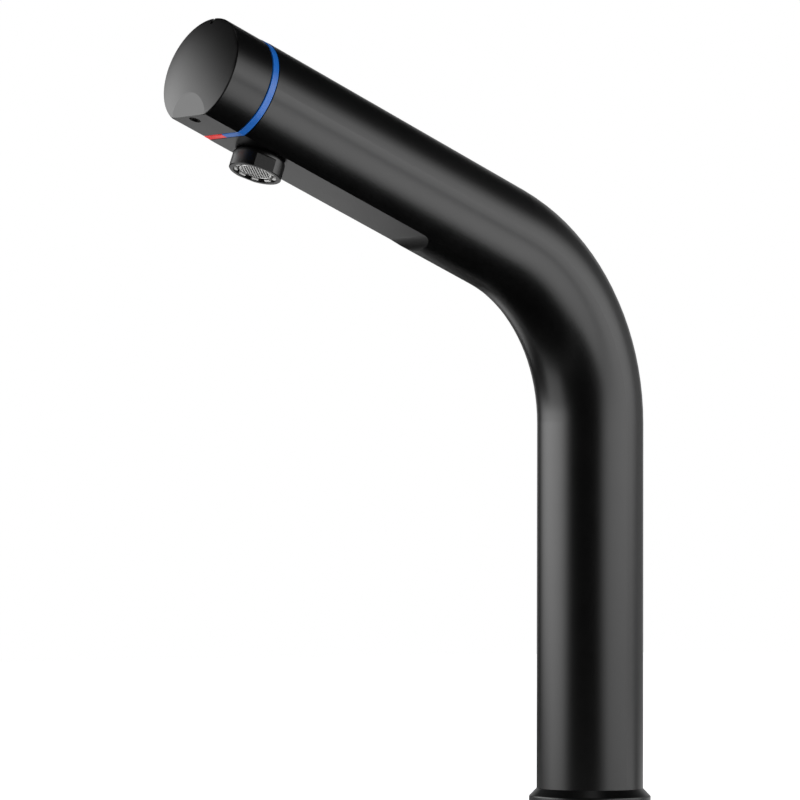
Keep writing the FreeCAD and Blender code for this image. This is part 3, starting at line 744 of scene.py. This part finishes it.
# Copies of nodes, merged so that light runs over them evenly, and most of them with broken edges
copies = {
    # piece: (node, body, slot, sharp angle in degrees, bevel in millimetres, only rims square to the arm)
    "coatedKnob": ("push_knob", "push_parts", "matte_black", 11, 0, False),
    "coldMarkerHalf": ("cold_marker", "root", "marker_blue", 30, 0.22, True),
    "hotMarkerHalf": ("hot_marker", "root", "marker_red", 30, 0.22, True),
    "stampedClampPlate": ("clamp_plate", "deck_clamp", "stainless", 30, 0.35, False),
    "mouldedClampPad": ("clamp_pad", "deck_clamp", "rubber", 30, 0.5, False),
    "pressedWashers": ("stud_washers", "deck_clamp", "stainless", 30, 0.2, False),
    "chamferedNuts": ("fixing_nuts", "deck_clamp", "brass", 30, 0.15, False),
}
brokenEdge = {
    "flat": 0.5,              # degrees, edges flatter than this only divide a face and go first
    "from": 40,               # degrees, edges sharper than this are broken
    "segments": 3,
    "square": 0.001 * mm,     # how far off square to the arm an edge may be
}


def markFaceEdges(work):
    # weights the edges that lie in a plane square to the arm, which are the rims of the marker ring
    weight = work.edges.layers.float.new("bevel_weight_edge")
    out = Vector(knobTurn["axis"])
    for edge in work.edges:
        first, second = edge.verts
        edge[weight] = float(abs(out.dot(first.co - second.co)) < brokenEdge["square"])


def softened(name, node, body, slot, sharpAngle, width, facesOnly):
    source = frame["nodes"][node]
    mesh = source.data.copy()
    piece = finished(mesh, name, source.data.materials[0], sharpAngle)
    if width:
        work = bmesh.new()
        work.from_mesh(mesh)
        flat = math.radians(brokenEdge["flat"])
        bmesh.ops.dissolve_limit(work, angle_limit=flat, verts=work.verts, edges=work.edges)
        if facesOnly:
            markFaceEdges(work)
        work.to_mesh(mesh)
        work.free()
        bevel = piece.modifiers.new("brokenEdge", "BEVEL")
        bevel.width = width * mm
        bevel.segments = brokenEdge["segments"]
        bevel.limit_method = "WEIGHT" if facesOnly else "ANGLE"
        bevel.angle_limit = math.radians(brokenEdge["from"])
        bevel.harden_normals = True
    else:
        even = piece.modifiers.new("evenShade", "WEIGHTED_NORMAL")
        even.keep_sharp = True
    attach(piece, body)
    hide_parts(node)


for name, row in copies.items():
    softened(name, *row)
print("edges broken")


# Floor, backdrop and lamps. Directions are degrees round the tap from the front, -90 is the user's left
stage = {
    "floorZ": -61 * mm,       # just under the ends of the studs
    "floorSize": 8.0,
    "floorColour": (0.85, 0.85, 0.85),
    "nearGlow": 0.2,          # what the camera sees of the floor besides its own light, near the tap
    "farGlow": 0.75,          # and far from it
    "nearTo": 1.1 / 3,        # metres from the tap, where the glow starts to rise
    "farFrom": 1.1,           # and where it is at its highest
    "ambient": 0.5,           # the world, for the rays that light the object
    "middleY": -60 * mm,      # lamps and cards stand round this place, under the arm
}
lamps = {
    # from and to direction, distance, bottom, top, brightness where 1 is white, the share of the width by
    # which its glow leans over its height, then the shares of the width and height over which it fades:
    # at the first direction, the second, the bottom and the top
    "leftSoftbox": (-93.0, 7.0, 1.3, -0.03, 1.3, 4.6, 0.40, 0.54, 0.36, 0.05, 0.75),
    "rightSoftbox": (62.0, 172.0, 1.3, -0.03, 1.15, 3.2, -0.38, 0.31, 0.50, 0.12, 0.80),
    "rearSoftbox": (160.0, 196.0, 1.3, -0.03, 1.15, 0.4, 0.0, 0.10, 0.30, 0.05, 0.76),
}
leanFrom = 0.12               # share of the height where nothing leans
paintedReflections = {
    # cards that only reflections see, painted highlights and painted black reflections which light and shade
    # nothing:
    # from and to direction, distance and height of one rim and of the other, then the brightness, where 0 is
    # a painted black reflection
    "wallCloth": (0.0, 360.0, 1.9, -0.06, 1.9, 2.2, 0.01),
    "ceilingCloth": (0.0, 360.0, 1.9, 2.1, 0.35, 2.1, 0.01),
    "floorCloth": (0.0, 360.0, 0.0, -0.059, 1.9, -0.059, 0.0),
    "leftBoard": (-54.0, -10.0, 0.34, -0.058, 1.2, -0.058, 1.6),
    "rightBoard": (86.0, 160.0, 0.23, -0.058, 1.2, -0.058, 2.7),
    "underBoard": (-119.0, -92.0, 0.38, -0.058, 0.80, -0.058, 0.90),
    "backBoard": (172.0, 222.0, 0.45, -0.058, 1.8, -0.058, 0.9),
    "backWall": (198.0, 250.0, 1.8, -0.03, 1.8, 1.0, 0.5),
    "lowBoard": (0.0, 360.0, 0.26, -0.058, 0.26, -0.03, 0.6),
}
cardPoints = 49


def aroundTap(azimuth, distance, height):
    a = math.radians(azimuth)
    return Vector((distance * math.sin(a), -distance * math.cos(a) + stage["middleY"], height))


def staged(name, mesh, material):
    mesh.materials.append(material)
    made = bpy.data.objects.new(name, mesh)
    bpy.context.scene.collection.objects.link(made)
    return made


def stripMesh(name, start, end, firstR, firstZ, secondR, secondZ):
    # a strip between two rims: x = r sin a, y = -r cos a
    a = np.radians(np.linspace(start, end, cardPoints))
    r, z = np.array([[firstR], [secondR]]), np.array([[firstZ], [secondZ]])
    x, y = r * np.sin(a), -r * np.cos(a) + stage["middleY"]
    points = np.stack(np.broadcast_arrays(x, y, z), -1)
    mesh = bpy.data.meshes.new(name)
    mesh.from_pydata(points.reshape(-1, 3), [], gridFaces(2, cardPoints))
    return mesh


def makeWorld():
    world = bpy.data.worlds.new("studio")
    bpy.context.scene.world = world
    nodes = Nodes(world)
    ambient = nodes.glow("ShaderNodeBackground", stage["ambient"])
    white = nodes.glow("ShaderNodeBackground", 1.0)
    nodes.node("ShaderNodeOutputWorld", {}, {"Surface": nodes.mixed(nodes.seen(), ambient, white)})


def makeFloor():
    material = bpy.data.materials.new("paleFloor")
    nodes = Nodes(material)
    plain = nodes.node("ShaderNodeBsdfDiffuse", {}, {"Color": (*stage["floorColour"], 1)})
    place = nodes.node("ShaderNodeTexCoord", {}, {}, "Object")
    away = nodes.node("ShaderNodeVectorMath", {"operation": "LENGTH"}, {"Vector": place}, "Value")
    rise = stage["farGlow"] - stage["nearGlow"]
    strength = stage["nearGlow"] + rise * nodes.ramp(away, stage["nearTo"], stage["farFrom"])
    glow = nodes.glow("ShaderNodeEmission", strength)
    lit = nodes.node("ShaderNodeAddShader", {}, {"Shader": plain, "Shader_001": glow})
    above = nodes.mixed(nodes.seen(), plain, lit)
    below = nodes.node("ShaderNodeBsdfTransparent", {}, {})   # the tap's underside can be seen through it
    fromBelow = nodes.node("ShaderNodeNewGeometry", {}, {}, "Backfacing")
    nodes.node("ShaderNodeOutputMaterial", {}, {"Surface": nodes.mixed(fromBelow, above, below)})
    half = stage["floorSize"] / 2
    mesh = bpy.data.meshes.new("floor")
    corners = [(x * half, y * half, stage["floorZ"]) for x, y in ((-1, -1), (1, -1), (1, 1), (-1, 1))]
    mesh.from_pydata(corners, [], [(0, 1, 2, 3)])
    staged("floor", mesh, material)


def makeLamps():
    for name, (start, end, distance, bottom, top, glow, lean, *fades) in lamps.items():
        middle = (start + end) / 2
        data = bpy.data.lights.new(name, "AREA")
        data.shape = "RECTANGLE"
        data.size = 2 * distance * math.tan(math.radians(end - start) / 2)
        data.size_y = top - bottom
        data.energy = glow * math.pi * data.size * data.size_y    # pi times the area for each unit of glow
        nodes = Nodes(data)
        place = nodes.node("ShaderNodeNewGeometry", {}, {}, "Parametric")
        u, v = (nodes.node("ShaderNodeSeparateXYZ", {}, {"Vector": place}, axis) for axis in "XY")
        across = u + lean * (v - leanFrom)
        strength = 1.0
        for inwards, fade in zip((across, 1 - across, v, 1 - v), fades):
            strength = nodes.ramp(inwards, 0, fade) * strength
        nodes.node("ShaderNodeOutputLight", {}, {"Surface": nodes.glow("ShaderNodeEmission", strength)})
        lamp = bpy.data.objects.new(name, data)
        bpy.context.scene.collection.objects.link(lamp)
        lamp.location = aroundTap(middle, distance, (bottom + top) / 2)
        lamp.rotation_euler = (math.pi / 2, 0, math.radians(middle))


def makePaintedReflections():
    for name, (*strip, glow) in paintedReflections.items():
        material = bpy.data.materials.new(name)
        nodes = Nodes(material)
        # the card's glow is seen only in reflections: a painted highlight, or a painted black reflection
        # where it is 0
        nodes.node("ShaderNodeOutputMaterial", {}, {"Surface": nodes.glow("ShaderNodeEmission", glow)})
        reflectionCard = staged(name, stripMesh(name, *strip), material)
        reflectionCard.visible_camera = False
        reflectionCard.visible_diffuse = False
        reflectionCard.visible_transmission = False
        reflectionCard.visible_shadow = False


makeWorld()
makeFloor()
makeLamps()
makePaintedReflections()
bpy.context.scene.view_settings.view_transform = "Standard"
print("stage made")
